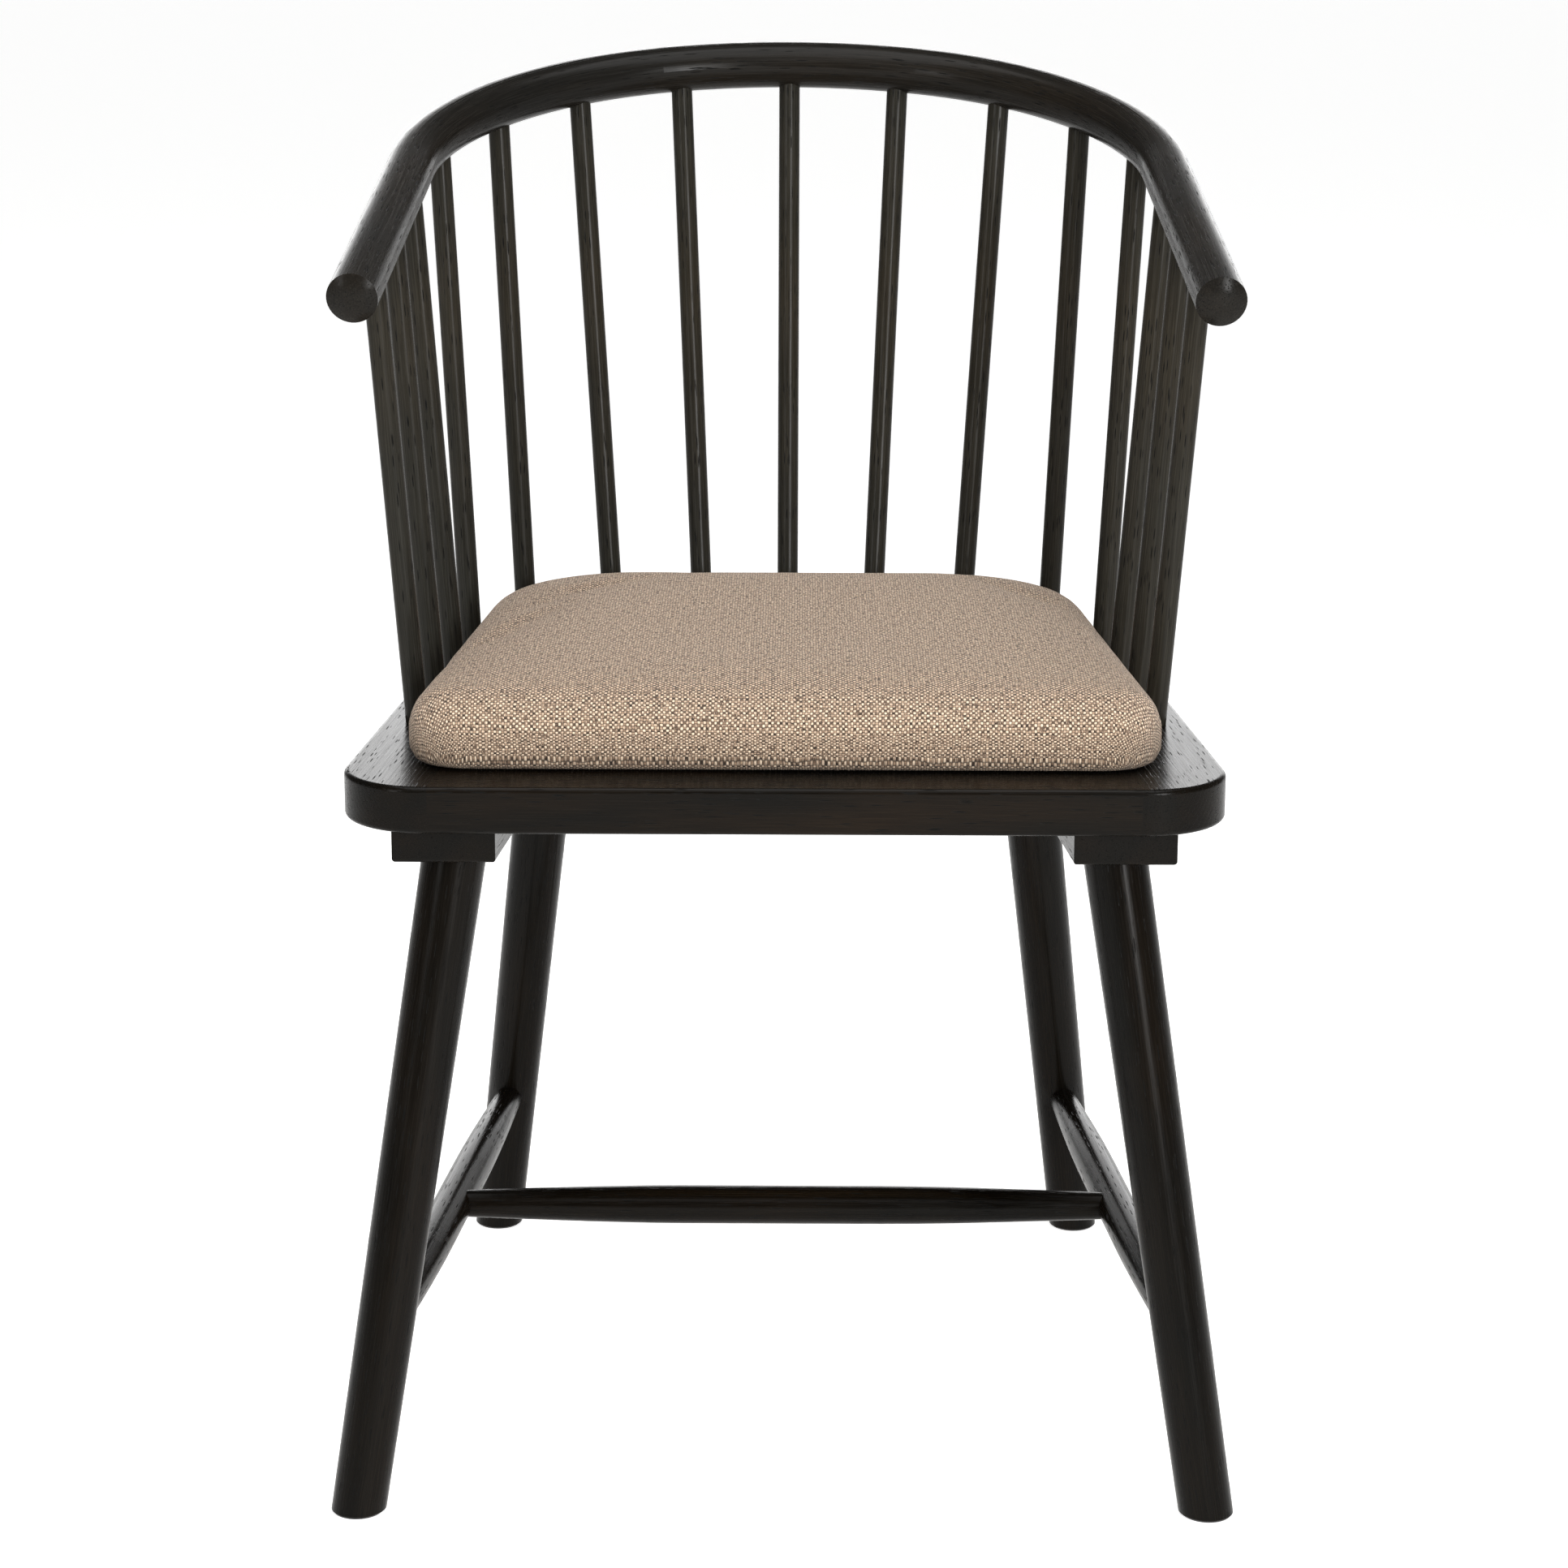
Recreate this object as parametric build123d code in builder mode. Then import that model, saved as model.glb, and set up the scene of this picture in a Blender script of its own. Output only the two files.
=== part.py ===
from build123d import *
import os
from math import cos, pi, radians, sin

os.makedirs("parts", exist_ok=True)

# Spindle-back armchair. Millimetres, +Z up, the sitter faces -Y, the floor is Z = 0 and the
# origin is under the middle of the chair. Every piece lies in its assembled place.

# ---------------------------------------------------------------- seat frame
seat_top = 427
seat_thickness = 27
seat_front = -237
seat_depth = 448
seat_half_width = 256  # half width of the front edge, measured to the sharp corner
side_taper = 0.101  # the sides close in by this much for each unit of depth
front_corner_radius = 48
rear_corner_radius = 120
rear_edge_bow = 6  # how far the middle of the rear edge stands behind its ends
seat_edge_round = 3
side_member_width = 56
front_rail_depth = 80
rear_rail_front = 113
panel_thickness = 9
panel_rebate = 10
dowel_radius = 4
dowel_length = 36

# ---------------------------------------------------------------- battens, legs, stretchers
batten_thickness = 21
batten_width = 58.5
batten_front = -221
batten_rear = 177
batten_half_spacing = 192.5  # from the middle plane to the batten's middle, at its front end
batten_edge_round = 2.5
leg_foot_radius = 15.75
leg_top_radius = 18.5
leg_tenon_radius = 12
leg_tenon_top = 410
front_foot = (245.5, -256)
front_leg_top = (188.7, -187)
rear_foot = (198.2, 213)
rear_leg_top = (154.1, 157.5)
foot_chamfer = 1.5
stretcher_height = 100
stretcher_end_radius = 8.25
stretcher_middle_radius = 12
stretcher_straight = 120  # the middle stretch that keeps its full thickness

# ---------------------------------------------------------------- arm bow and spindles
bow_radius = 14.75
arm_end_y = -150
arm_end_height = 688.7
bow_slope = 13.6  # degrees, the bow's plane rises towards the back
bow_reach = 419  # from the arm ends to the middle of the back, along the slope
back_arc_radius = 277
back_arc_half_angle = 18
corner_arc_radius = 209.5
arm_flare = 3.8  # degrees, the arms open out towards their ends
arm_cap_height = 4
spindle_radius = 6.75
seat_socket_depth = 16
# Spindle feet on one half of the seat, from the arm end to the middle of the back.
spindle_feet = [(219.5, -79), (213.5, -20), (207, 42), (201, 104)]
spindle_feet += [(169, 155), (113.5, 176), (55.5, 184), (0, 187)]
# How far round the bow each one enters it, from the middle of the back.
spindle_heads = [488, 417, 348, 278, 210, 143, 71.5, 0]

# ---------------------------------------------------------------- upholstered pad
pad_front = -206
pad_rear = 170
pad_half_width = 220  # at the front edge, measured to the sharp corner
pad_height = 49
pad_front_corner = 38
pad_rear_corner = 90
pad_top_round = 26
pad_bottom_round = 9
cover_thickness = 1.5
hem_width = 26
board_thickness = 9
board_inset = 9

# ---------------------------------------------------------------- screws
screw_radius = 2
screw_head_radius = 4
screw_head_depth = 2.6
batten_screw_length = 38
pad_screw_length = 30
pad_screw_recess = 4

seat_bottom = seat_top - seat_thickness
batten_bottom = seat_bottom - batten_thickness
seat_rear = seat_front + seat_depth


def edge_x(half_width, y, front):
    """X of a line that starts at half_width on the front edge and closes in like the seat sides."""
    return half_width - side_taper * (y - front)


# ================================================================ seat members
def seat_blank():
    """The whole seat board in the active part, before it is divided into its members."""
    rear_x = edge_x(seat_half_width, seat_rear, seat_front)
    with BuildSketch(Plane.XY.offset(seat_bottom)) as outline:
        with BuildLine():
            Line((-seat_half_width, seat_front), (seat_half_width, seat_front))
            Line((seat_half_width, seat_front), (rear_x, seat_rear - rear_edge_bow))
            ThreePointArc(
                (rear_x, seat_rear - rear_edge_bow),
                (0, seat_rear),
                (-rear_x, seat_rear - rear_edge_bow),
            )
            Line((-rear_x, seat_rear - rear_edge_bow), (-seat_half_width, seat_front))
        make_face()
        fillet(outline.vertices().sort_by(Axis.Y)[:2], front_corner_radius)
        fillet(outline.vertices().sort_by(Axis.Y)[-2:], rear_corner_radius)
    blank = extrude(outline.sketch, amount=seat_thickness)
    rim = blank.faces().sort_by(Axis.Z)[-1].edges() + blank.faces().sort_by(Axis.Z)[0].edges()
    fillet(rim, seat_edge_round)


def frame_opening(grow, z, height, mode):
    """The space between the seat members, grown all round, from z upwards."""
    y0 = seat_front + front_rail_depth - grow
    y1 = rear_rail_front + grow
    inner = seat_half_width - side_member_width + grow
    x0 = edge_x(inner, y0, seat_front)
    x1 = edge_x(inner, y1, seat_front)
    with BuildSketch(Plane.XY.offset(z)) as opening:
        Polygon((-x0, y0), (x0, y0), (x1, y1), (-x1, y1), align=None)
    extrude(opening.sketch, amount=height, mode=mode)


def member_region(kind):
    """Keep only one member of the seat blank: a side, or the rail between the sides."""
    inner = seat_half_width - side_member_width
    y0 = seat_front - 1
    y1 = seat_rear + 1
    x0 = edge_x(inner, y0, seat_front)
    x1 = edge_x(inner, y1, seat_front)
    with BuildSketch(Plane.XY.offset(seat_bottom)) as region:
        if kind == "right":
            Polygon((x0, y0), (x0 + 100, y0), (x0 + 100, y1), (x1, y1), align=None)
        elif kind == "left":
            Polygon((-x0, y0), (-x1, y1), (-x0 - 100, y1), (-x0 - 100, y0), align=None)
        elif kind == "front":
            y2 = seat_front + front_rail_depth
            x2 = edge_x(inner, y2, seat_front)
            Polygon((-x0, y0), (x0, y0), (x2, y2), (-x2, y2), align=None)
        else:
            x2 = edge_x(inner, rear_rail_front, seat_front)
            Polygon(
                (-x2, rear_rail_front), (x2, rear_rail_front), (x1, y1), (-x1, y1), align=None
            )
    extrude(region.sketch, amount=seat_thickness, mode=Mode.INTERSECT)


# Where each dowel crosses a joint between a rail and a side: (y on the seat, side of the chair).
dowel_rows = [-224, -209, 127, 177]
dowel_spots = [(y, s) for y in dowel_rows for s in (-1, 1)]


def dowels(mode):
    """The dowels in the joints of the seat frame, as solids or as their bores."""
    inner = seat_half_width - side_member_width
    for y, side in dowel_spots:
        x = side * edge_x(inner, y, seat_front)
        with Locations(Location((x, y, seat_bottom + seat_thickness / 2 - 2), (0, 90, 0))):
            Cylinder(dowel_radius, dowel_length, mode=mode)


# ================================================================ arm bow
slope = radians(bow_slope)
bow_plane = Plane(
    origin=(0, arm_end_y, arm_end_height),
    x_dir=(1, 0, 0),
    z_dir=(0, -sin(slope), cos(slope)),
)
turn = radians(back_arc_half_angle)
flare = radians(arm_flare)
arc_joint_x = back_arc_radius * sin(turn)
arc_joint_y = bow_reach - back_arc_radius + back_arc_radius * cos(turn)
corner_x = arc_joint_x - corner_arc_radius * sin(turn)
corner_y = arc_joint_y - corner_arc_radius * cos(turn)
arm_start_x = corner_x + corner_arc_radius * cos(flare)
arm_start_y = corner_y + corner_arc_radius * sin(flare)
arm_length = arm_start_y / cos(flare)
arm_end_x = arm_start_x + arm_length * sin(flare)
corner_sweep = 90 - back_arc_half_angle - arm_flare


def bow_point(distance):
    """Point on the bow's middle line, right half, at a distance from the middle of the back."""
    back_length = back_arc_radius * turn
    corner_length = corner_arc_radius * radians(corner_sweep)
    if distance <= back_length:
        angle = distance / back_arc_radius
        x = back_arc_radius * sin(angle)
        y = bow_reach - back_arc_radius + back_arc_radius * cos(angle)
    elif distance <= back_length + corner_length:
        angle = pi / 2 - turn - (distance - back_length) / corner_arc_radius
        x = corner_x + corner_arc_radius * cos(angle)
        y = corner_y + corner_arc_radius * sin(angle)
    else:
        along = distance - back_length - corner_length
        x = arm_start_x + along * sin(flare)
        y = arm_start_y - along * cos(flare)
    return Vector(x, arm_end_y + y * cos(slope), arm_end_height + y * sin(slope))


def spindle_ends(number):
    """Lower and upper end of a spindle's axis, numbered 1 to 15 from the left arm round."""
    half = number - 1 if number <= 8 else 15 - number
    side = -1 if number < 8 else 1
    foot_x, foot_y = spindle_feet[half]
    head = bow_point(spindle_heads[half])
    foot = Vector(side * foot_x, foot_y, seat_top)
    head = Vector(side * head.X, head.Y, head.Z)
    axis = (head - foot).normalized()
    return foot - axis * (seat_socket_depth / axis.Z), head


def spindle_body(number, mode):
    """One spindle, as a solid or as the sockets that it leaves."""
    low, high = spindle_ends(number)
    with Locations(Plane(origin=low, z_dir=high - low).location):
        Cylinder(
            spindle_radius,
            (high - low).length,
            align=(Align.CENTER, Align.CENTER, Align.MIN),
            mode=mode,
        )


back_centre = bow_plane.from_local_coords(Vector(0, bow_reach - back_arc_radius, 0))
back_start = bow_plane.from_local_coords(Vector(arc_joint_x, arc_joint_y, 0))
back_direction = bow_plane.z_dir.cross(back_start - back_centre)

with BuildPart() as arm_bow:
    with BuildSketch(Plane(origin=back_start, z_dir=back_direction)):
        Circle(bow_radius)
    revolve(axis=Axis(back_centre, bow_plane.z_dir), revolution_arc=2 * back_arc_half_angle)
    for side in (-1, 1):
        arm_end = bow_plane.from_local_coords(Vector(side * arm_end_x, 0, 0))
        arm_start = bow_plane.from_local_coords(Vector(side * arm_start_x, arm_start_y, 0))
        corner_centre = bow_plane.from_local_coords(Vector(side * corner_x, corner_y, 0))
        backward = (arm_start - arm_end).normalized()
        with BuildSketch(Plane(origin=arm_start, z_dir=backward)):
            Circle(bow_radius)
        revolve(
            axis=Axis(corner_centre, bow_plane.z_dir * side),
            revolution_arc=corner_sweep,
        )
        with BuildSketch(Plane(origin=arm_end, z_dir=backward)):
            Circle(bow_radius)
        extrude(amount=arm_length)
        # A shallow domed cap closes the arm, with a crisp line where it meets the rail.
        sideways = backward.cross(bow_plane.z_dir)
        with BuildSketch(Plane(origin=arm_end, x_dir=sideways, z_dir=-bow_plane.z_dir)):
            with BuildLine():
                Line((0, 0), (bow_radius, 0))
                ThreePointArc(
                    (bow_radius, 0),
                    (bow_radius * 0.72, arm_cap_height * 0.52),
                    (0, arm_cap_height),
                )
                Line((0, arm_cap_height), (0, 0))
            make_face()
        revolve(axis=Axis(arm_end, backward))
    for number in range(1, 16):
        spindle_body(number, Mode.SUBTRACT)
arm_bow.part.label = "arm_bow"
export_step(arm_bow.part, "parts/arm_bow.step")

# ================================================================ spindles
for number in range(1, 16):
    with BuildPart() as spindle:
        spindle_body(number, Mode.ADD)
    spindle.part.label = f"spindle_{number:02d}"
    export_step(spindle.part, f"parts/spindle_{number:02d}.step")


# ================================================================ legs
def leg_plane(foot, top, side, z):
    """Plane square to a leg's axis, where the axis passes the height z."""
    base = Vector(side * foot[0], foot[1], 0)
    crown = Vector(side * top[0], top[1], batten_bottom)
    axis = crown - base
    return Plane(origin=base + axis * (z / batten_bottom), z_dir=axis)


def leg_radius_at(z):
    """Radius of a leg's taper at the height z."""
    return leg_foot_radius + (leg_top_radius - leg_foot_radius) * z / batten_bottom


def stretcher_ends(side):
    """Where a side stretcher's axis meets the front and the rear leg's axis."""
    front = leg_plane(front_foot, front_leg_top, side, stretcher_height).origin
    rear = leg_plane(rear_foot, rear_leg_top, side, stretcher_height).origin
    return front, rear


leg_kinds = [
    ("leg_front_left", front_foot, front_leg_top, -1),
    ("leg_front_right", front_foot, front_leg_top, 1),
    ("leg_rear_left", rear_foot, rear_leg_top, -1),
    ("leg_rear_right", rear_foot, rear_leg_top, 1),
]

# The round tenon on top of each leg, cut level. It fills a mortice in the batten and the seat.
leg_tenons = {}
for name, foot, top, side in leg_kinds:
    tenon_start = leg_plane(foot, top, side, batten_bottom - 12)
    with BuildPart() as leg_tenon:
        with Locations(tenon_start.location):
            Cylinder(
                leg_tenon_radius,
                leg_tenon_top - batten_bottom + 40,
                align=(Align.CENTER, Align.CENTER, Align.MIN),
            )
        split(bisect_by=Plane.XY.offset(leg_tenon_top), keep=Keep.BOTTOM)
    leg_tenons[name] = leg_tenon.part

# The round stretchers swell in the middle. Their ends fill mortices in the legs, and the
# cross stretcher's ends fill mortices in the side stretchers.
cross_ends = [sum(stretcher_ends(side), Vector()) * 0.5 for side in (-1, 1)]
stretcher_kinds = [
    ("stretcher_left", *stretcher_ends(-1)),
    ("stretcher_right", *stretcher_ends(1)),
    ("stretcher_cross", *cross_ends),
]
turned = {}
for name, start, end in stretcher_kinds:
    half = (end - start).length / 2
    bulge = stretcher_straight / 2
    along = (end - start).normalized()
    middle = Plane(origin=(start + end) * 0.5, x_dir=along, z_dir=(0, 0, 1))
    with BuildPart() as turning:
        with BuildSketch(middle):
            with BuildLine():
                Line((-half, 0), (-half, stretcher_end_radius))
                Spline(
                    (-half, stretcher_end_radius),
                    (-bulge, stretcher_middle_radius),
                    tangents=((1, 0.03), (1, 0)),
                )
                Line((-bulge, stretcher_middle_radius), (bulge, stretcher_middle_radius))
                Spline(
                    (bulge, stretcher_middle_radius),
                    (half, stretcher_end_radius),
                    tangents=((1, 0), (1, -0.03)),
                )
                Line((half, stretcher_end_radius), (half, 0))
                Line((half, 0), (-half, 0))
            make_face()
        revolve(axis=Axis(middle.origin, along))
    turned[name] = turning.part

for name, foot, top, side in leg_kinds:
    with BuildPart() as leg:
        with BuildSketch(leg_plane(foot, top, side, -30)):
            Circle(leg_radius_at(-30))
        with BuildSketch(leg_plane(foot, top, side, batten_bottom + 30)):
            Circle(leg_radius_at(batten_bottom + 30))
        loft()
        with Locations((0, 0, 0)):
            Box(
                900,
                900,
                batten_bottom,
                align=(Align.CENTER, Align.CENTER, Align.MIN),
                mode=Mode.INTERSECT,
            )
        chamfer(leg.faces().sort_by(Axis.Z)[0].edges(), foot_chamfer)
        add(leg_tenons[name])
        add(turned["stretcher_left" if side < 0 else "stretcher_right"], mode=Mode.SUBTRACT)
    leg.part.label = name
    export_step(leg.part, f"parts/{name}.step")

# ================================================================ stretchers
for name in turned:
    with BuildPart() as stretcher:
        add(turned[name])
        if name != "stretcher_cross":
            add(turned["stretcher_cross"], mode=Mode.SUBTRACT)
    stretcher.part.label = name
    export_step(stretcher.part, f"parts/{name}.step")


# ================================================================ screws
def countersunk_screw(x, y, head_z, length, mode):
    """A countersunk wood screw that points straight up, its head flush at head_z."""
    with Locations((x, y, head_z)):
        Cone(
            screw_head_radius,
            screw_radius,
            screw_head_depth,
            align=(Align.CENTER, Align.CENTER, Align.MIN),
            mode=mode,
        )
        Cylinder(
            screw_radius,
            length,
            align=(Align.CENTER, Align.CENTER, Align.MIN),
            mode=mode,
        )


batten_screw_rows = [-115, -32, 51]
batten_screw_spots = [
    (side * edge_x(batten_half_spacing, y, batten_front), y)
    for side in (-1, 1)
    for y in batten_screw_rows
]
pad_screw_spots = [(side * 90, y) for side in (-1, 1) for y in (-172, 136)]


def batten_screw_set(mode):
    """All the screws that hold the battens up to the seat frame."""
    for x, y in batten_screw_spots:
        countersunk_screw(x, y, batten_bottom, batten_screw_length, mode)


def pad_screw_set(mode):
    """All the screws that hold the pad's board down, each at the bottom of a short recess."""
    for x, y in pad_screw_spots:
        countersunk_screw(x, y, seat_bottom + pad_screw_recess, pad_screw_length, mode)


with BuildPart() as batten_screws:
    batten_screw_set(Mode.ADD)
batten_screws.part.label = "batten_screws"
export_step(batten_screws.part, "parts/batten_screws.step")

with BuildPart() as pad_screws:
    pad_screw_set(Mode.ADD)
pad_screws.part.label = "pad_screws"
export_step(pad_screws.part, "parts/pad_screws.step")

# ================================================================ battens
for name, side in (("seat_batten_left", -1), ("seat_batten_right", 1)):
    with BuildPart() as batten:
        outer = batten_half_spacing + batten_width / 2
        inner = batten_half_spacing - batten_width / 2
        drift = side_taper * (batten_rear - batten_front)
        with BuildSketch(Plane.XY.offset(batten_bottom)):
            Polygon(
                (side * inner, batten_front),
                (side * outer, batten_front),
                (side * (outer - drift), batten_rear),
                (side * (inner - drift), batten_rear),
                align=None,
            )
        extrude(amount=batten_thickness)
        fillet(batten.faces().sort_by(Axis.Z)[0].edges(), batten_edge_round)
        for leg_name, foot, top, leg_side in leg_kinds:
            if leg_side == side:
                add(leg_tenons[leg_name], mode=Mode.SUBTRACT)
        batten_screw_set(Mode.SUBTRACT)
    batten.part.label = name
    export_step(batten.part, f"parts/{name}.step")

# ================================================================ seat frame members
member_kinds = [
    ("seat_side_left", "left"),
    ("seat_side_right", "right"),
    ("seat_front_rail", "front"),
    ("seat_rear_rail", "rear"),
]
for name, kind in member_kinds:
    with BuildPart() as member:
        seat_blank()
        member_region(kind)
        frame_opening(panel_rebate, seat_top - panel_thickness, panel_thickness, Mode.SUBTRACT)
        dowels(Mode.SUBTRACT)
        for leg_name in leg_tenons:
            add(leg_tenons[leg_name], mode=Mode.SUBTRACT)
        if kind in ("left", "right"):
            for number in range(1, 16):
                spindle_body(number, Mode.SUBTRACT)
            batten_screw_set(Mode.SUBTRACT)
        if kind in ("front", "rear"):
            for x, y in pad_screw_spots:
                with Locations((x, y, seat_bottom)):
                    Cylinder(screw_head_radius + 1, 2 * pad_screw_recess, mode=Mode.SUBTRACT)
            pad_screw_set(Mode.SUBTRACT)
        if kind == "rear":
            for number in range(1, 16):
                spindle_body(number, Mode.SUBTRACT)
    member.part.label = name
    export_step(member.part, f"parts/{name}.step")

with BuildPart() as seat_panel:
    frame_opening(panel_rebate, seat_top - panel_thickness, panel_thickness, Mode.ADD)
seat_panel.part.label = "seat_panel"
export_step(seat_panel.part, "parts/seat_panel.step")

with BuildPart() as seat_dowels:
    dowels(Mode.ADD)
seat_dowels.part.label = "seat_dowels"
export_step(seat_dowels.part, "parts/seat_dowels.step")


# ================================================================ upholstered pad
def pad_outline(inset):
    """Plan shape of the pad in the active sketch, drawn in by inset all round."""
    y0 = pad_front + inset
    y1 = pad_rear - inset
    x0 = edge_x(pad_half_width - inset, y0, pad_front)
    x1 = edge_x(pad_half_width - inset, y1, pad_front)
    Polygon((-x0, y0), (x0, y0), (x1, y1), (-x1, y1), align=None)
    fillet(vertices().sort_by(Axis.Y)[:2], max(pad_front_corner - inset, 2))
    fillet(vertices().sort_by(Axis.Y)[-2:], max(pad_rear_corner - inset, 2))


def pad_form(inset):
    """The pad's rolled block in the active part, drawn in by inset on every face."""
    with BuildSketch(Plane.XY.offset(seat_top + inset)) as outline:
        pad_outline(inset)
    block = extrude(outline.sketch, amount=pad_height - 2 * inset)
    fillet(block.faces().sort_by(Axis.Z)[-1].edges(), pad_top_round - inset)
    fillet(block.faces().sort_by(Axis.Z)[0].edges(), pad_bottom_round - inset)


board_bottom = seat_top + cover_thickness


def pad_board_form(mode):
    """The plywood board that carries the pad, as a solid or as the space that it fills."""
    with BuildSketch(Plane.XY.offset(board_bottom)) as outline:
        pad_outline(board_inset)
    extrude(outline.sketch, amount=board_thickness, mode=mode)


with BuildPart() as cushion_board:
    pad_board_form(Mode.ADD)
    pad_screw_set(Mode.SUBTRACT)
cushion_board.part.label = "cushion_board"
export_step(cushion_board.part, "parts/cushion_board.step")

with BuildPart() as cover_inside:
    pad_form(cover_thickness)

with BuildPart() as cushion_foam:
    add(cover_inside.part)
    pad_board_form(Mode.SUBTRACT)
cushion_foam.part.label = "cushion_foam"
export_step(cushion_foam.part, "parts/cushion_foam.step")

with BuildPart() as cushion_cover:
    pad_form(0)
    add(cover_inside.part, mode=Mode.SUBTRACT)
    with BuildSketch(Plane.XY.offset(seat_top - 1)):
        pad_outline(hem_width)
    extrude(amount=cover_thickness + 1.5, mode=Mode.SUBTRACT)
cushion_cover.part.label = "cushion_cover"
export_step(cushion_cover.part, "parts/cushion_cover.step")
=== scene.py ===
import bpy
from math import cos, exp, pi, radians, sin, tanh
from mathutils import Matrix, Vector


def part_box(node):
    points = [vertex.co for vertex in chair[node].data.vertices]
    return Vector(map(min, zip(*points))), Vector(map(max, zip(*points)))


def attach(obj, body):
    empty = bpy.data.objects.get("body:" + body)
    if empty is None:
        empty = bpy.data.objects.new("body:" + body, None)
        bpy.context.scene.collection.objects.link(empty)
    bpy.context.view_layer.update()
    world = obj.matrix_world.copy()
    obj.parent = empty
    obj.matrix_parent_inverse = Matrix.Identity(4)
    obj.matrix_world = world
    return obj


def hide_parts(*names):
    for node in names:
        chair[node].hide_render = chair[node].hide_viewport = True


# Looks for a spindle-back armchair with an upholstered pad. Metres, +Z up, the sitter faces -Y.

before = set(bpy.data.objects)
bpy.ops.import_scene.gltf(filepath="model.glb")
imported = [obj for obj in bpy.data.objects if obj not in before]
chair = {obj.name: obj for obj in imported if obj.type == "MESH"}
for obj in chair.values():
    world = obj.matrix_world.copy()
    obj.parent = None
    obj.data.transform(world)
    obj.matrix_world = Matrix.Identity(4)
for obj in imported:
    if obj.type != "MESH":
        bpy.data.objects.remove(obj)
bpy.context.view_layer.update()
scene = bpy.context.scene
mm = 0.001


def colour(code):
    """Linear RGBA of an sRGB hex colour."""
    parts = [int(code[i : i + 2], 16) / 255 for i in (1, 3, 5)]
    return [p / 12.92 if p <= 0.04045 else ((p + 0.055) / 1.055) ** 2.4 for p in parts] + [1.0]


def add(tree, kind, inputs=None, **settings):
    """Adds one node, sets its properties, and fills its sockets. A socket gets a value, a link,
    or the first output of another node."""
    made = tree.nodes.new("ShaderNode" + kind)
    for name, value in settings.items():
        setattr(made, name, value)
    for socket, value in (inputs or {}).items():
        if isinstance(value, bpy.types.Node):
            value = value.outputs[0]
        if isinstance(value, bpy.types.NodeSocket):
            tree.links.new(value, made.inputs[socket])
        else:
            made.inputs[socket].default_value = value
    return made


def new_finish(name):
    """An empty finish: its node tree and its surface node."""
    finish = bpy.data.materials.new(name)
    finish.use_nodes = True
    return finish, finish.node_tree, finish.node_tree.nodes["Principled BSDF"]


# ------------------------------------------------------------------------- grain directions
end_slice = 3 * mm  # how much of a rod's end is averaged to find its middle


def ends_of(node):
    """The middle of each end of a long straight piece."""
    low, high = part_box(node)
    size = high - low
    axis = max(range(3), key=lambda i: size[i])
    ends = []
    for edge in (low[axis], high[axis]):
        near = [v.co for v in chair[node].data.vertices if abs(v.co[axis] - edge) < end_slice]
        ends.append(sum(near, Vector()) / len(near))
    return ends


def straight_grain(start, along):
    """Grain that runs straight: turns object coordinates so that X follows the piece."""

    def made(tree):
        turn = along.to_track_quat("X", "Z").to_matrix().inverted()
        return add(
            tree,
            "Mapping",
            {
                "Vector": add(tree, "TexCoord").outputs["Object"],
                "Rotation": turn.to_euler(),
                "Location": -(turn @ start),
            },
        )

    return made


def rod_grain(node):
    """Grain that runs from end to end of a leaning rod."""
    low, high = ends_of(node)
    return straight_grain(low, high - low)


# The arm bow lies in one sloping plane. A round back and two tighter corners lead into arms
# that open out a little towards their ends.
bow_slope = radians(13.6)
arm_end = Vector((0, -150, 688.7)) * mm
back_middle = 419 * mm
back_radius = 277 * mm
back_half_angle = radians(18)
corner_radius = 209.5 * mm
arm_flare = radians(3.8)
# The back's arc is longer than a corner's over the same angle, so the grain's run starts each
# corner this much further along.
back_extra = 21 * mm


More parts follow.
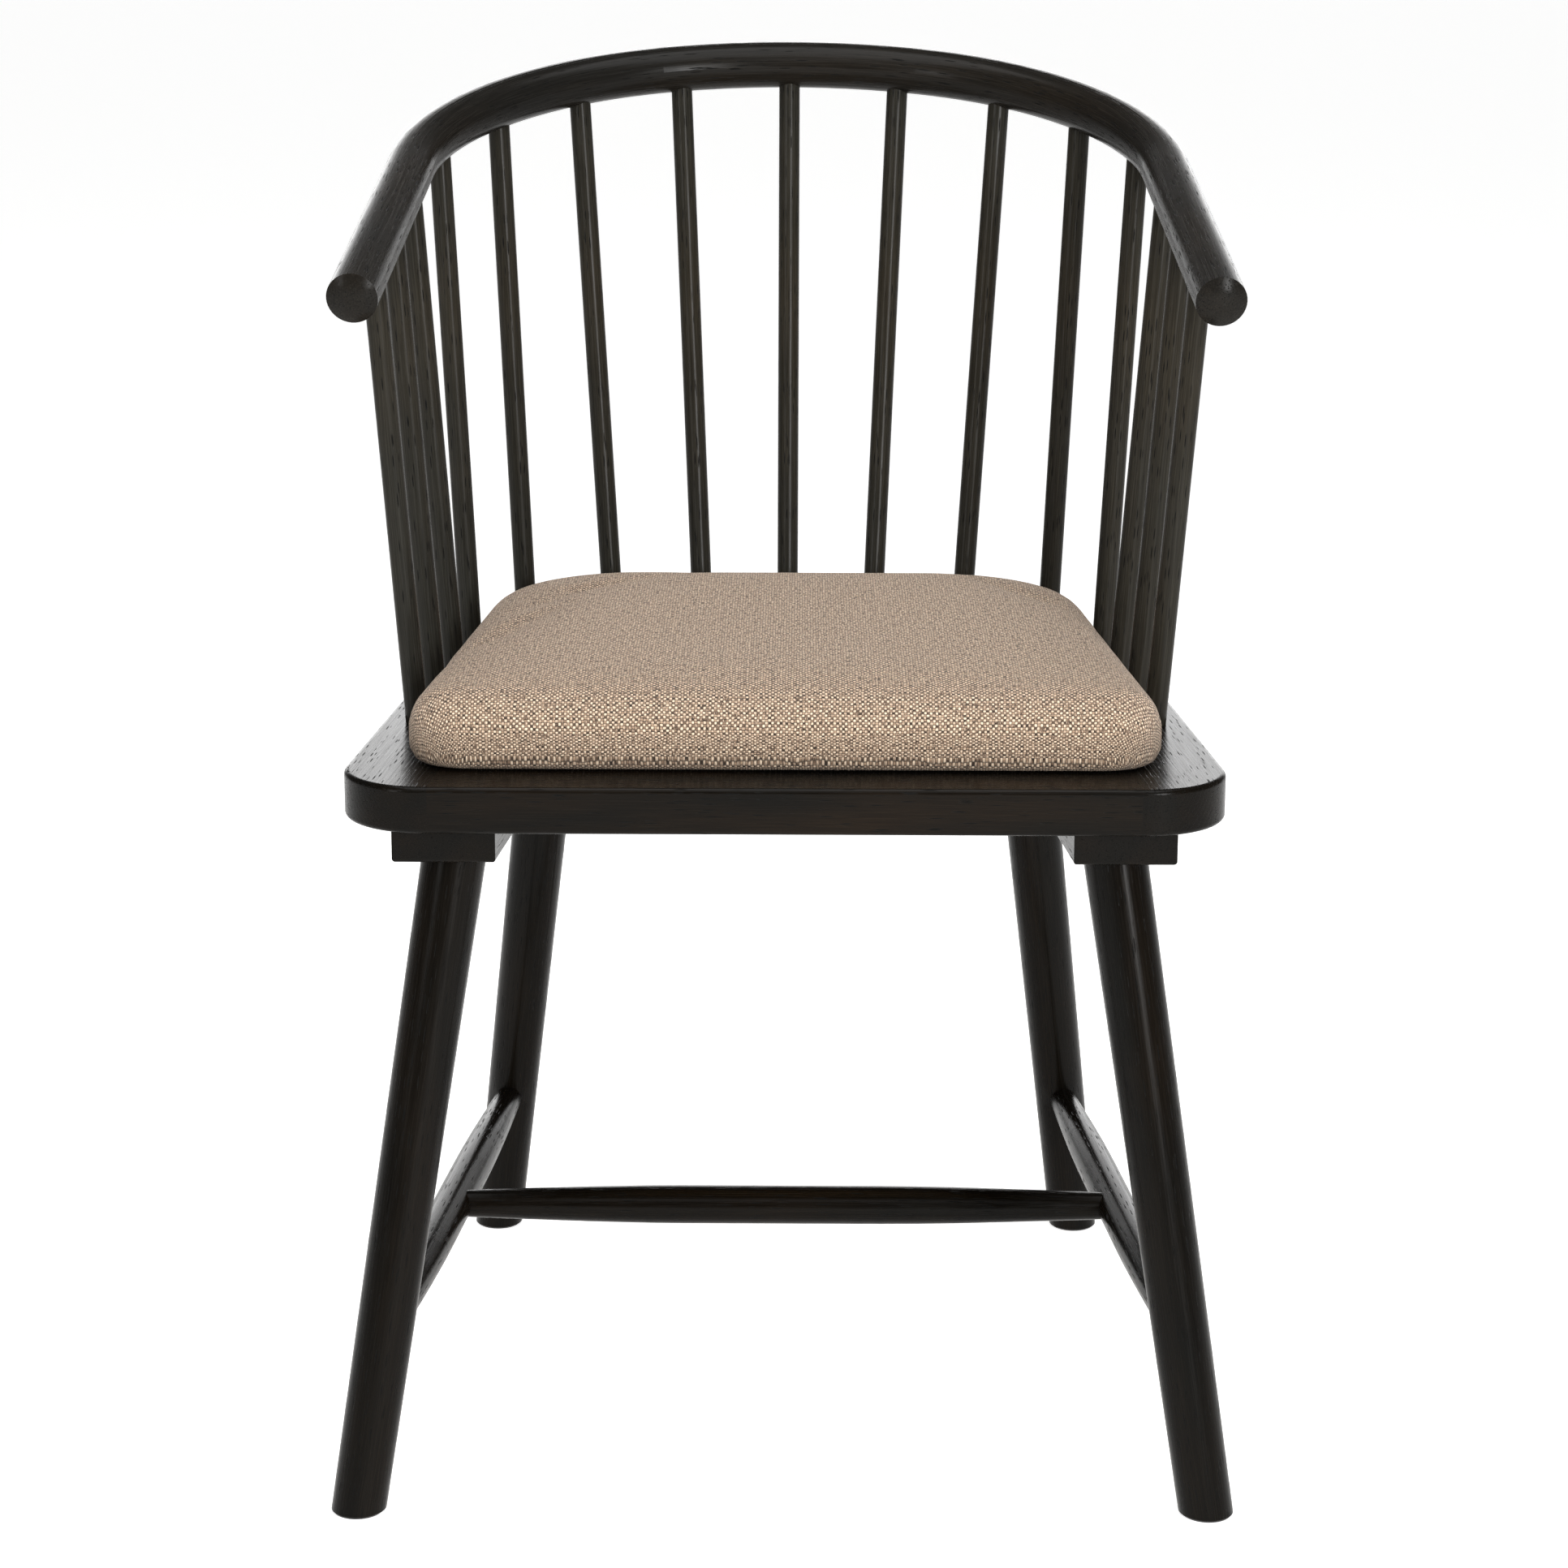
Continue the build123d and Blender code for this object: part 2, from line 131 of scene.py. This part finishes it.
def bent_grain(tree):
    """Grain of a steam-bent rail: X follows the bend, Y crosses it, Z stands off its plane."""
    place = add(tree, "TexCoord").outputs["Object"]
    moved = add(tree, "VectorMath", {0: place, 1: arm_end}, operation="SUBTRACT")
    flat = add(tree, "Mapping", {"Vector": moved, "Rotation": (-bow_slope, 0, 0)})
    parts = add(tree, "SeparateXYZ", {0: flat})
    side = add(tree, "Math", {0: parts}, operation="ABSOLUTE")
    folded = add(tree, "CombineXYZ", {0: side, 1: parts.outputs[1]})
    off = back_radius - corner_radius
    back_centre = (0, back_middle - back_radius, 0)
    corner_centre = (
        off * sin(back_half_angle),
        back_centre[1] + off * cos(back_half_angle),
        0,
    )

    def round_stretch(centre, radius, start):
        """How far a point lies along an arc that starts the run at a length, how far off the
        arc, and at what angle."""
        spoke = add(tree, "VectorMath", {0: folded, 1: centre}, operation="SUBTRACT")
        ends = add(tree, "SeparateXYZ", {0: spoke})
        angle = add(tree, "Math", {0: ends, 1: ends.outputs[1]}, operation="ARCTAN2")
        along = add(tree, "Math", {0: angle, 1: radius, 2: start}, operation="MULTIPLY_ADD")
        length = add(tree, "VectorMath", {0: spoke}, operation="LENGTH").outputs["Value"]
        return along, add(tree, "Math", {0: length, 1: radius}, operation="SUBTRACT"), angle

    back_along, back_off, back_angle = round_stretch(back_centre, back_radius, 0)
    corner_along, corner_off, _ = round_stretch(corner_centre, corner_radius, back_extra)

    # The arm runs straight on from the end of the corner.
    from_corner = add(tree, "VectorMath", {0: folded, 1: corner_centre}, operation="SUBTRACT")
    forward = (sin(arm_flare), -cos(arm_flare), 0)
    outward = (cos(arm_flare), sin(arm_flare), 0)
    past_corner, aside = (
        add(tree, "VectorMath", {0: from_corner, 1: way}, operation="DOT_PRODUCT").outputs["Value"]
        for way in (forward, outward)
    )
    arm_start = corner_radius * (radians(90) - arm_flare) + back_extra
    arm_along = add(tree, "Math", {0: past_corner, 1: arm_start}, operation="ADD")
    arm_off = add(tree, "Math", {0: aside, 1: corner_radius}, operation="SUBTRACT")

    in_corner = add(tree, "Math", {0: back_angle, 1: back_half_angle}, operation="GREATER_THAN")
    in_arm = add(tree, "Math", {0: past_corner, 1: 0}, operation="GREATER_THAN")

    def choose(back, corner, arm):
        bent = add(tree, "Mix", {0: in_corner, 2: back, 3: corner})
        return add(tree, "Mix", {0: in_arm, 2: bent, 3: arm})

    half = add(tree, "Math", {0: parts}, operation="SIGN")
    run = choose(back_along, corner_along, arm_along)
    along = add(tree, "Math", {0: run, 1: half}, operation="MULTIPLY")
    crossing = choose(back_off, corner_off, arm_off)
    return add(tree, "CombineXYZ", {0: along, 1: crossing, 2: parts.outputs[2]})


# ------------------------------------------------------------------------- wood
# Sizes in mm. Pores and fibres are drawn coarser than in real oak, so that they show.
ring_width = 2.6
ring_wander = 2.5  # how many rings' width the rings wander
pore_spacing = 1.2
pore_length = 16  # the pitch of the pores along the grain; each is about half as long
fibre_width = 0.7
fibre_length = 34
pith = (0, -46 * mm, 30 * mm)  # the tree's middle, beside the piece

# The stain where it took darkest, and where the oak's brown shows through it most.
deep_stain = ("#0a0907", "#1b130b")
# The bow's pair is lighter than the deep stain: painted light, standing in for the highlights the
# bow catches.
bow_stain_lightened_as_painted_light = ("#181715", "#241d15")
# The spindles' pair is lighter still: painted light for the highlights the spindles catch.
spindle_stain_lightened_as_painted_light = ("#262521", "#332b1f")
open_pore = "#080807"


def ebonised_oak(name, grain, warmth=0.35, stain=deep_stain):
    """Oak stained black under a satin lacquer that leaves the pores open. The eye gets a near
    black with a trace of brown, a broad soft shine, and short dark dashes along the grain
    where light glances off it."""
    finish, tree, surface = new_finish("ebonised_oak_" + name)
    run = grain(tree)

    def stretched(length, width):
        """The piece measured in lengths along the grain and widths across it."""
        scale = (1 / (length * mm), 1 / (width * mm), 1 / (width * mm))
        return add(tree, "VectorMath", {0: run, 1: scale}, operation="MULTIPLY")

    # Growth rings.
    cross = add(tree, "VectorMath", {0: run, 1: (0, 1, 1)}, operation="MULTIPLY")
    depth = add(tree, "VectorMath", {0: cross, 1: pith}, operation="DISTANCE").outputs["Value"]
    wander = add(tree, "TexNoise", {"Vector": stretched(180, 22), "Scale": 1.0, "Detail": 2.0})
    drift = add(tree, "Math", {0: wander, 1: ring_wander}, operation="MULTIPLY")
    rings = add(
        tree, "Math", {0: depth, 1: 1 / (ring_width * mm), 2: drift}, operation="MULTIPLY_ADD"
    )
    ring = add(tree, "Math", {0: rings}, operation="FRACT")
    early = add(tree, "MapRange", {0: ring, 1: 0.1, 2: 0.6, 3: 1.0, 4: 0.0})

    # Pores: long thin cells, open more often in the early wood of each ring.
    cells = add(
        tree, "TexVoronoi", {"Vector": stretched(pore_length, pore_spacing), "Scale": 1.0}
    )
    slit = add(
        tree, "MapRange", {0: cells.outputs["Distance"], 1: 0.2, 2: 0.32, 3: 1.0, 4: 0.0}
    )
    chance = add(tree, "SeparateColor", {0: cells.outputs["Color"]})
    likely = add(tree, "Math", {0: early, 1: 0.45, 2: chance}, operation="MULTIPLY_ADD")
    is_open = add(tree, "Math", {0: likely, 1: 0.75}, operation="GREATER_THAN")
    pore = add(tree, "Math", {0: slit, 1: is_open}, operation="MULTIPLY")

    # Colour: the stain in soft patches, streaked by the fibres and black in the pores.
    fibre = add(
        tree,
        "TexNoise",
        {"Vector": stretched(fibre_length, fibre_width), "Scale": 1.0, "Detail": 3.0},
    )
    patch = add(tree, "TexNoise", {"Vector": stretched(150, 28), "Scale": 1.0, "Detail": 2.0})
    tone = add(tree, "MapRange", {0: patch, 1: 0.35, 2: 0.75, 3: 0.0, 4: warmth})
    black = add(
        tree, "Mix", {0: tone, 6: colour(stain[0]), 7: colour(stain[1])}, data_type="RGBA"
    ).outputs[2]
    streak = add(tree, "MapRange", {0: fibre, 1: 0.35, 2: 0.7, 3: 0.75, 4: 1.35})
    streaked = add(tree, "VectorMath", {0: black, 3: streak}, operation="SCALE")
    wood = add(
        tree, "Mix", {0: pore, 6: streaked, 7: colour(open_pore)}, data_type="RGBA"
    ).outputs[2]
    tree.links.new(wood, surface.inputs["Base Color"])

    satin = add(tree, "MapRange", {0: fibre, 1: 0.3, 2: 0.7, 3: 0.2, 4: 0.3})
    dull = add(tree, "Math", {0: pore, 1: 0.35, 2: satin}, operation="MULTIPLY_ADD")
    tree.links.new(dull.outputs[0], surface.inputs["Roughness"])
    surface.inputs["IOR"].default_value = 1.5
    surface.inputs["Specular IOR Level"].default_value = 0.075  # a thin, dull coat over black

    # Relief: raised fibres, open pores, and early wood that has sunk a little.
    fibres = add(tree, "Math", {0: fibre, 1: 0.18}, operation="MULTIPLY")
    hollow = add(tree, "Math", {0: early, 1: 0.12, 2: pore}, operation="MULTIPLY_ADD")
    height = add(tree, "Math", {0: fibres, 1: hollow}, operation="SUBTRACT")
    relief = add(tree, "Bump", {"Height": height, "Strength": 0.55, "Distance": 0.3 * mm})
    tree.links.new(relief.outputs[0], surface.inputs["Normal"])
    return finish


def give(node, finish):
    """Puts a finish on a piece of the frame."""
    chair[node].material_slots[0].material = finish


# The bow gets its lighter stain pair, painted light for the highlights it catches.
give("arm_bow", ebonised_oak("bent_rail", bent_grain, stain=bow_stain_lightened_as_painted_light))
rods = [n for n in chair if n.startswith(("spindle", "leg", "stretcher", "seat_batten"))]
for rod in sorted(rods):
    # Spindles get a lighter stain pair: painted light, standing in for the highlight streaks the
    # spindles catch.
    stain = spindle_stain_lightened_as_painted_light if rod.startswith("spindle") else deep_stain
    give(rod, ebonised_oak(rod, rod_grain(rod), stain=stain))
side_taper = 0.101  # how much each side of the seat and pad leans out towards the front
across_seat = Vector((1, 0, 0))
for node, along, warmth in (
    ("seat_side_left", Vector((side_taper, 1, 0)), 0.35),
    ("seat_side_right", Vector((-side_taper, 1, 0)), 0.35),
    ("seat_front_rail", across_seat, 0.8),
    ("seat_rear_rail", across_seat, 0.8),
):
    give(node, ebonised_oak(node, straight_grain(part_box(node)[0], along), warmth))


def bare_wood(name, pale, dark, along, layers=0.0):
    """Unfinished wood: a dry, matt face with fine fibres and, on plywood, glued layers."""
    finish, tree, surface = new_finish(name)
    place = add(tree, "TexCoord").outputs["Object"]
    scale = [1 / (0.8 * mm)] * 3  # fibres 0.8 mm wide and 30 mm long
    scale[along] = 1 / (30 * mm)
    run = add(tree, "VectorMath", {0: place, 1: scale}, operation="MULTIPLY")
    fibre = add(tree, "TexNoise", {"Vector": run, "Scale": 1.0, "Detail": 3.0})
    wood = add(
        tree, "Mix", {0: fibre, 6: colour(pale), 7: colour(dark)}, data_type="RGBA"
    ).outputs[2]
    if layers:
        height = add(tree, "SeparateXYZ", {0: place}).outputs[2]
        layer = add(tree, "Math", {0: height, 1: layers * mm}, operation="PINGPONG")
        glue = add(tree, "MapRange", {0: layer, 1: 0.0, 2: 0.3 * mm, 3: 0.7, 4: 0.0})
        wood = add(
            tree, "Mix", {0: glue, 6: wood, 7: colour("#6b4a2b")}, data_type="RGBA"
        ).outputs[2]
    tree.links.new(wood, surface.inputs["Base Color"])
    surface.inputs["Roughness"].default_value = 0.75
    relief = add(tree, "Bump", {"Height": fibre, "Strength": 0.3, "Distance": 0.2 * mm})
    tree.links.new(relief.outputs[0], surface.inputs["Normal"])
    return finish


plywood = bare_wood("birch_plywood_unfinished", "#c9a77c", "#a98458", 0, layers=1.5)
give("seat_panel", plywood)
give("cushion_board", plywood)
give("seat_dowels", bare_wood("beech_dowel_unfinished", "#c99f74", "#a87d52", 0))


def zinc_plate():
    """Steel screws with a bright zinc plate: a cool grey metal, slightly mottled."""
    finish, tree, surface = new_finish("zinc_plated_steel")
    place = add(tree, "TexCoord").outputs["Object"]
    mottle = add(tree, "TexNoise", {"Vector": place, "Scale": 1 / (1.2 * mm)})
    rough = add(tree, "MapRange", {0: mottle, 1: 0.3, 2: 0.7, 3: 0.28, 4: 0.45})
    tree.links.new(rough.outputs[0], surface.inputs["Roughness"])
    surface.inputs["Base Color"].default_value = colour("#b9bcbf")
    surface.inputs["Metallic"].default_value = 1.0
    return finish


zinc = zinc_plate()
give("batten_screws", zinc)
give("pad_screws", zinc)


# ------------------------------------------------------------------------- seat pad
yarn = 1.6  # width of one yarn with its gap, mm, a little coarser than it is so that it shows
fleck_width, fleck_length = 1.6, 5
# Colours of the flecks in the yarn, from dark to light, and where each begins.
warp_yarn = [(0.3, "#574436"), (0.42, "#b9a089"), (0.6, "#e3ccb2")]
weft_yarn = [(0.36, "#34281e"), (0.5, "#7b6451"), (0.66, "#aa9077")]


def woven_melange():
    """Plain weave of thick spun yarn, pale warp over a browner weft, each flecked light and
    dark. The eye gets small raised dots in diagonal rows and a dry, faintly soft surface."""
    finish, tree, surface = new_finish("woven_wool_melange")
    cloth = add(tree, "UVMap", uv_map="cloth").outputs[0]

    def counted(u, v):
        """The cloth counted in steps of u and v mm."""
        scale = (1 / (u * mm), 1 / (v * mm), 1)
        return add(tree, "VectorMath", {0: cloth, 1: scale}, operation="MULTIPLY")

    # Yarn that is never quite straight or even.
    drift = add(tree, "TexNoise", {"Vector": counted(9, 9), "Scale": 1.0, "Detail": 2.0})
    centred = add(
        tree, "VectorMath", {0: drift.outputs["Color"], 1: (0.5, 0.5, 0.5)}, operation="SUBTRACT"
    )
    shift = add(tree, "VectorMath", {0: centred, 3: 1.3}, operation="SCALE")
    wavy = add(tree, "VectorMath", {0: counted(yarn, yarn), 1: shift}, operation="ADD")
    turns = add(tree, "VectorMath", {0: wavy, 3: pi}, operation="SCALE")
    crests = add(tree, "VectorMath", {0: turns}, operation="SINE")
    parts = add(tree, "SeparateXYZ", {0: crests})
    crossing = add(tree, "Math", {0: parts, 1: parts.outputs[1]}, operation="MULTIPLY")
    bulge = add(tree, "Math", {0: crossing}, operation="ABSOLUTE")
    dome = add(tree, "Math", {0: bulge}, operation="SQRT")
    warp_up = add(tree, "MapRange", {0: crossing, 1: -0.15, 2: 0.15, 3: 0.0, 4: 1.0})

    def flecked(u, v, yarn_colours):
        fleck = add(tree, "TexNoise", {"Vector": counted(u, v), "Scale": 1.0, "Detail": 2.0})
        ramp = add(tree, "ValToRGB", {0: fleck})
        stops = ramp.color_ramp.elements
        stops.new(0.5)
        for stop, (at, code) in zip(stops, yarn_colours):
            stop.position = at
            stop.color = colour(code)
        return ramp

    warp = flecked(fleck_width, fleck_length, warp_yarn)
    weft = flecked(fleck_length, fleck_width, weft_yarn)
    yarns = add(tree, "Mix", {0: warp_up, 6: weft, 7: warp}, data_type="RGBA").outputs[2]
    # Painted shade and painted highlight: the yarn colour is scaled down to 0.2 in the gaps
    # between yarns and up to 1.15 on their crowns.
    gap_shade_and_crown_highlight = add(tree, "MapRange", {0: dome, 1: 0.1, 2: 0.75, 3: 0.2, 4: 1.15})
    weave = add(tree, "VectorMath", {0: yarns, 3: gap_shade_and_crown_highlight}, operation="SCALE")
    tree.links.new(weave.outputs[0], surface.inputs["Base Color"])
    surface.inputs["Roughness"].default_value = 0.92
    surface.inputs["IOR"].default_value = 1.45
    surface.inputs["Sheen Weight"].default_value = 0.12
    surface.inputs["Sheen Roughness"].default_value = 0.5
    relief = add(tree, "Bump", {"Height": dome, "Strength": 0.9, "Distance": 0.6 * mm})
    tree.links.new(relief.outputs[0], surface.inputs["Normal"])
    return finish


top_roll = 26 * mm  # radius of the pad's rolled top rim
under_roll = 10 * mm
rear_corner = 88 * mm
front_corner = 37 * mm
block_top_rim = 24 * mm
block_bottom_rim = 9 * mm
pad_inset = 1 * mm  # the block starts a little inside the pad
under_gap = 0.3 * mm
room_to_swell = 4 * mm
corner_loss = 4 * mm  # what rounding a front corner takes off the half width
pad_low, pad_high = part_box("cushion_cover")


def only(thing):
    """Makes one object the selected and active one."""
    bpy.ops.object.select_all(action="DESELECT")
    thing.select_set(True)
    bpy.context.view_layer.objects.active = thing


def pick_edges(thing, wanted):
    """In edit mode, selects just the edges whose two ends pass a test."""
    bpy.ops.mesh.select_all(action="DESELECT")
    bpy.ops.object.mode_set(mode="OBJECT")
    points = thing.data.vertices
    for edge in thing.data.edges:
        edge.select = wanted(points[edge.vertices[0]].co, points[edge.vertices[1]].co)
    bpy.ops.object.mode_set(mode="EDIT")


def pad_block():
    """The unswollen pad: a tapered board of foam with rounded corners and rolled rims."""
    bpy.ops.object.select_all(action="DESELECT")
    low = pad_low + Vector((pad_inset, pad_inset, under_gap))
    high = pad_high - Vector((pad_inset, pad_inset, room_to_swell))
    bpy.ops.mesh.primitive_cube_add(size=1, location=(low + high) / 2, scale=high - low)
    block = bpy.context.object
    block.name = "seat_pad"
    bpy.ops.object.transform_apply(location=True, rotation=True, scale=True)
    bpy.ops.object.mode_set(mode="EDIT")
    bpy.context.tool_settings.mesh_select_mode = (False, True, False)

    # The taper: the rear end narrower than the front.
    box_half = (high - low).x / 2
    front_half = box_half + corner_loss
    rear_half = front_half - side_taper * (high.y - low.y)

    def upright(a, b):
        return abs(a.z - b.z) > 20 * mm

    for half, at_end in (
        (rear_half, lambda a, b: min(a.y, b.y) > 0),
        (front_half, lambda a, b: max(a.y, b.y) < 0),
    ):
        pick_edges(block, at_end)
        bpy.ops.transform.resize(value=(half / box_half, 1, 1), center_override=(0, 0, 0))

    for radius, steps, wanted in (
        (rear_corner, 12, lambda a, b: upright(a, b) and a.y > 0),
        (front_corner, 8, lambda a, b: upright(a, b) and a.y < -0.15),
        (block_top_rim, 6, lambda a, b: min(a.z, b.z) > high.z - 1 * mm),
        (block_bottom_rim, 4, lambda a, b: max(a.z, b.z) < low.z + 1 * mm),
    ):
        pick_edges(block, wanted)
        bpy.ops.mesh.bevel(offset=radius, offset_type="OFFSET", segments=steps, affect="EDGES")
    bpy.ops.object.mode_set(mode="OBJECT")
    return block


last_frame = 20  # of the cloth's swelling


def swell(pad, voxel, reach):
    """Cloth under pressure: the pad fills out above its flat, held underside. No point moves
    further than the reach."""
    remesh = pad.modifiers.new("even_mesh", "REMESH")
    remesh.mode = "VOXEL"
    remesh.voxel_size = voxel
    bpy.ops.object.modifier_apply(modifier=remesh.name)
    start = [v.co.copy() for v in pad.data.vertices]
    base = min(at.z for at in start)
    held = pad.vertex_groups.new(name="held")
    held.add([i for i, at in enumerate(start) if at.z < base + 2 * mm], 1.0, "REPLACE")
    cloth = pad.modifiers.new("filling", "CLOTH")
    cloth.settings.use_pressure = True
    cloth.settings.uniform_pressure_force = 0.5
    cloth.settings.vertex_group_mass = held.name
    cloth.settings.effector_weights.gravity = 0
    cloth.settings.tension_stiffness = 40
    cloth.settings.compression_stiffness = 40
    cloth.settings.shear_stiffness = 20
    cloth.settings.bending_stiffness = 10
    cloth.point_cache.frame_start = 1
    cloth.point_cache.frame_end = last_frame
    for step in range(1, last_frame + 1):
        scene.frame_set(step)
    bpy.ops.object.modifier_apply(modifier=cloth.name)
    scene.frame_set(1)
    pad.vertex_groups.clear()
    for point, at in zip(pad.data.vertices, start):
        move = point.co - at
        if move.length > 0:
            point.co = at + move * (reach * tanh(move.length / reach) / move.length)


# Shallow dents where the cover is drawn round the rear corners: the middle of each dent, the
# way it runs, its half length, half width and depth in mm.
dents = [
    ((-172, -45), (0.52, 0.85), 42, 7, 3.2),
    ((-163, -14), (0.5, 0.87), 46, 7, 3.0),
    ((-143, 62), (0.55, 1), 48, 8, 3.0),
    ((-112, 104), (1, 0.8), 44, 8, 2.5),
    ((146, 84), (-0.6, 1), 50, 8, 2.5),
]


undented = 15 * mm  # the lowest part of the pad, which keeps its shape


def dent(pad):
    """Presses the dents into the top, each fading out to its ends and sides."""
    points = [(point, point.co.copy(), point.normal.copy()) for point in pad.data.vertices]
    points = [p for p in points if p[1].z > pad_low.z + undented]
    for (x, y), way, length, width, depth in dents:
        middle = Vector((x, y, 0)) * mm
        along = Vector((*way, 0)).normalized()
        across = Vector((-along.y, along.x, 0))
        for point, at, normal in points:
            far = ((at - middle).dot(along) / (length * mm)) ** 2
            off = ((at - middle).dot(across) / (width * mm)) ** 2
            if far + off < 9:
                point.co -= normal * depth * mm * exp(-far - off)


def lay_cloth(pad):
    """Unrolls the cover into a UV map in metres, so that the weave follows it over the rims.
    The top keeps its plan, and a point on the side lies as far out as the cloth runs to it."""
    only(pad)
    bpy.ops.object.shade_smooth()
    layer = pad.data.uv_layers.new(name="cloth").data
    low, high = (f(v.co.z for v in pad.data.vertices) for f in (min, max))
    wall = high - low - top_roll - under_roll
    places = []
    for point in pad.data.vertices:
        outward = point.normal.to_2d()
        if outward.length > 0:
            outward.normalize()
        lean = point.normal.angle(Vector((0, 0, 1)))
        over = min(lean, pi / 2)
        under = max(lean - pi / 2, 0)
        run = top_roll * (over - sin(over)) + under_roll * (under + 1 - cos(under))
        run += min(max(high - top_roll - point.co.z, 0), wall)
        places.append(point.co.to_2d() + outward * run)
    for loop, item in zip(pad.data.loops, layer):
        item.uv = places[loop.vertex_index]


pad = pad_block()
only(pad)
swell(pad, voxel=5 * mm, reach=14 * mm)
smooth = pad.modifiers.new("smooth", "SUBSURF")
smooth.levels = smooth.render_levels = 1
bpy.ops.object.modifier_apply(modifier=smooth.name)
lay_cloth(pad)
dent(pad)
pad.data.materials.clear()
pad.data.materials.append(woven_melange())
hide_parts("cushion_cover", "cushion_foam")
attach(pad, "root")

# ------------------------------------------------------------------------- floor, light, camera
bpy.ops.object.select_all(action="DESELECT")
bpy.ops.mesh.primitive_circle_add(vertices=128, radius=40, fill_type="NGON", location=(0, 0, 0))
floor = bpy.context.object
floor.name = "studio_floor"
finish, tree, surface = new_finish("matt_white_studio_floor")
surface.inputs["Base Color"].default_value = colour("#f4f4f2")
surface.inputs["Roughness"].default_value = 0.9
surface.inputs["Emission Color"].default_value = (1, 1, 1, 1)
surface.inputs["Emission Strength"].default_value = 0.76
floor.data.materials.append(finish)

room = bpy.data.worlds.new("white_studio")
scene.world = room
room.use_nodes = True
tree = room.node_tree
back = tree.nodes["Background"]
way = add(tree, "TexCoord").outputs["Generated"]
toward = add(tree, "SeparateXYZ", {0: way})
# A bright patch of wall straight behind the chair, in a dim room.
wall = add(tree, "MapRange", {0: toward.outputs[1], 1: 0.89, 2: 0.94, 3: 0.12, 4: 3.9})
seen = add(tree, "LightPath").outputs["Is Camera Ray"]
plain = add(tree, "Math", {0: wall, 1: seen}, operation="MAXIMUM")
back.inputs["Color"].default_value = (1, 1, 1, 1)
tree.links.new(plain.outputs[0], back.inputs["Strength"])


def softbox(name, place, aim, width, height, power):
    """A flat lamp of so many watts, turned to face a point."""
    light = bpy.data.lights.new(name, "AREA")
    light.shape = "RECTANGLE"
    light.size, light.size_y, light.energy = width, height, power
    lamp = bpy.data.objects.new(name, light)
    lamp.location = place
    lamp.rotation_euler = (Vector(aim) - Vector(place)).to_track_quat("-Z", "Y").to_euler()
    scene.collection.objects.link(lamp)


softbox("left_softbox", (-1.95, -2.3, 1.3), (0, 0, 0.5), 0.4, 1.2, 15)
softbox("right_softbox", (1.32, -2.7, 1.15), (0, 0, 0.5), 0.5, 1.2, 62)
softbox("front_softbox", (-0.3, -2.2, 2.3), (0, 0, 0.6), 1.6, 0.8, 8)
softbox("top_softbox", (0, -0.4, 3.0), (0, 0, 0.4), 2.4, 2.4, 72)

look_down = radians(14.57)
roll = radians(0.227)
lens = bpy.data.cameras.new("camera")
lens.lens = 93.17
lens.sensor_width = 36
lens.shift_x = -0.00937
camera = bpy.data.objects.new("camera", lens)
camera.location = (0.0078, -2.4267, 0.9993)
turned = Matrix.Rotation(radians(90) - look_down, 3, "X") @ Matrix.Rotation(roll, 3, "Z")
camera.rotation_euler = turned.to_euler()
scene.collection.objects.link(camera)
scene.camera = camera
scene.view_settings.view_transform = "Standard"
